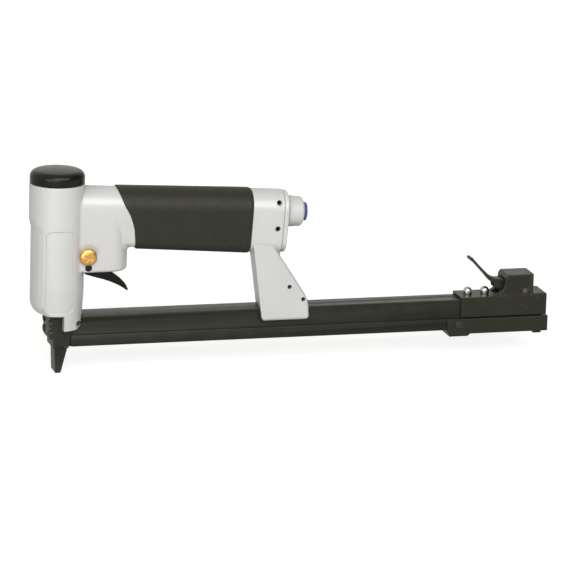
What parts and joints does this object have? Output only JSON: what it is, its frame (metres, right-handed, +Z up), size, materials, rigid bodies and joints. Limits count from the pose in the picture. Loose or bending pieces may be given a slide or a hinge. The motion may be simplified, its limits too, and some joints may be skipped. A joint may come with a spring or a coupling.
{
  "type": "pneumatic upholstery stapler",
  "caption": "Hand-held air stapler: cast head and handle with rubber grip, finger trigger, air inlet, and a long bottom-loading staple magazine with a draw-out slide and thumb latch.",
  "frame": {"origin": "the staple outlet in the nose tip, on the driver's axis", "axes": "+X runs back along the magazine, +Y is the user's right-hand side, +Z runs up the driver's axis to the cap"},
  "size_m": [0.3899, 0.04, 0.1495],
  "materials": {
    "silver_casting": "fine silver paint on cast aluminium",
    "black_gloss": "glossy black",
    "seal_rubber": "smooth rubber",
    "grip_rubber": "fine leathery grain",
    "valve_plastic": "matt moulded plastic",
    "bright_steel": "bright ground steel",
    "dark_steel": "black oxide steel",
    "black_steel": "satin black on steel",
    "turned_aluminium": "turned and anodised",
    "chrome": "polished chrome plate",
    "brass": "bright yellow brass",
    "blue_plastic": "moulded blue plastic"
  },
  "bodies": {
    "tool_body": {"housing": "silver_casting", "top_cap": "black_gloss", "cap_seal_ring": "seal_rubber", "head_valve_spring": "bright_steel", "cylinder_sleeve": "turned_aluminium", "sleeve_seals": "seal_rubber", "bumper": "seal_rubber", "nosepiece": "black_steel", "nose_front_plate": "black_steel", "nose_screws": "dark_steel", "nose_fixing_screws": "dark_steel", "trigger_pin": "dark_steel", "pin_retaining_screw": "brass", "valve_body": "brass", "valve_body_seals": "seal_rubber", "valve_spring": "bright_steel", "valve_cap": "brass", "grip_sleeve": "grip_rubber", "end_cap": "silver_casting", "end_cap_seal": "seal_rubber", "end_cap_pins": "dark_steel", "inlet_bush": "silver_casting", "magazine_hanger": "black_steel", "leg_pins": "dark_steel", "rail_front_screws": "dark_steel", "magazine_rail": "black_steel", "rear_block": "black_steel", "block_screws": "chrome", "latch_pin": "brass", "latch_spring": "bright_steel"},
    "trigger": {"trigger": "black_gloss"},
    "valve_stem": {"valve_stem": "bright_steel", "valve_collar_seal": "seal_rubber"},
    "piston": {"piston": "turned_aluminium", "piston_ring": "seal_rubber", "driver_blade": "bright_steel", "driver_pin": "bright_steel"},
    "head_valve": {"head_valve": "valve_plastic", "head_valve_seal": "seal_rubber"},
    "magazine_slide": {"magazine_slide": "black_steel", "slide_core": "bright_steel", "slide_end_clip": "black_steel", "clip_studs": "dark_steel", "pusher_rod": "bright_steel", "pusher_spring": "bright_steel"},
    "staple_pusher": {"staple_pusher": "bright_steel"},
    "latch": {"latch_lever": "black_steel"},
    "dust_plug": {"dust_plug": "blue_plastic"}
  },
  "joints": [
    {"name": "trigger_pull", "type": "hinge", "parent": "tool_body", "child": "trigger", "pos_m": [0.0207, 0, 0.0786], "axis": [0, -1, 0], "range_deg": [0, 10], "stiffness_Nm_per_rad": 0.4, "springref_deg": -11.46},
    {"name": "valve_lift", "type": "slide", "parent": "tool_body", "child": "valve_stem", "axis": [0, 0, 1], "range_m": [0, 0.0024], "deforming": ["valve_spring"]},
    {"name": "piston_stroke", "type": "slide", "parent": "tool_body", "child": "piston", "axis": [0, 0, -1], "range_m": [0, 0.0415]},
    {"name": "head_valve_lift", "type": "slide", "parent": "tool_body", "child": "head_valve", "axis": [0, 0, 1], "range_m": [0, 0.003], "stiffness_N_per_m": 1500, "springref_m": -0.004, "deforming": ["head_valve_spring"]},
    {"name": "magazine_slide_out", "type": "slide", "parent": "tool_body", "child": "magazine_slide", "axis": [1, 0, 0], "range_m": [0, 0.18]},
    {"name": "pusher_travel", "type": "slide", "parent": "magazine_slide", "child": "staple_pusher", "axis": [1, 0, 0], "range_m": [0, 0.15], "stiffness_N_per_m": 40, "springref_m": -0.1, "deforming": ["pusher_spring"]},
    {"name": "latch_press", "type": "hinge", "parent": "tool_body", "child": "latch", "pos_m": [0.3523, 0, 0.04745], "axis": [0, -1, 0], "range_deg": [0, 8], "stiffness_Nm_per_rad": 0.6, "springref_deg": -11.46},
    {"name": "plug_pull", "type": "slide", "parent": "tool_body", "child": "dust_plug", "axis": [0.9981, 0, -0.061], "range_m": [0, 0.025]}
  ],
  "couplings": [
    {"joint": "valve_lift", "follows": "trigger_pull", "m_per_rad": 0.0136}
  ]
}
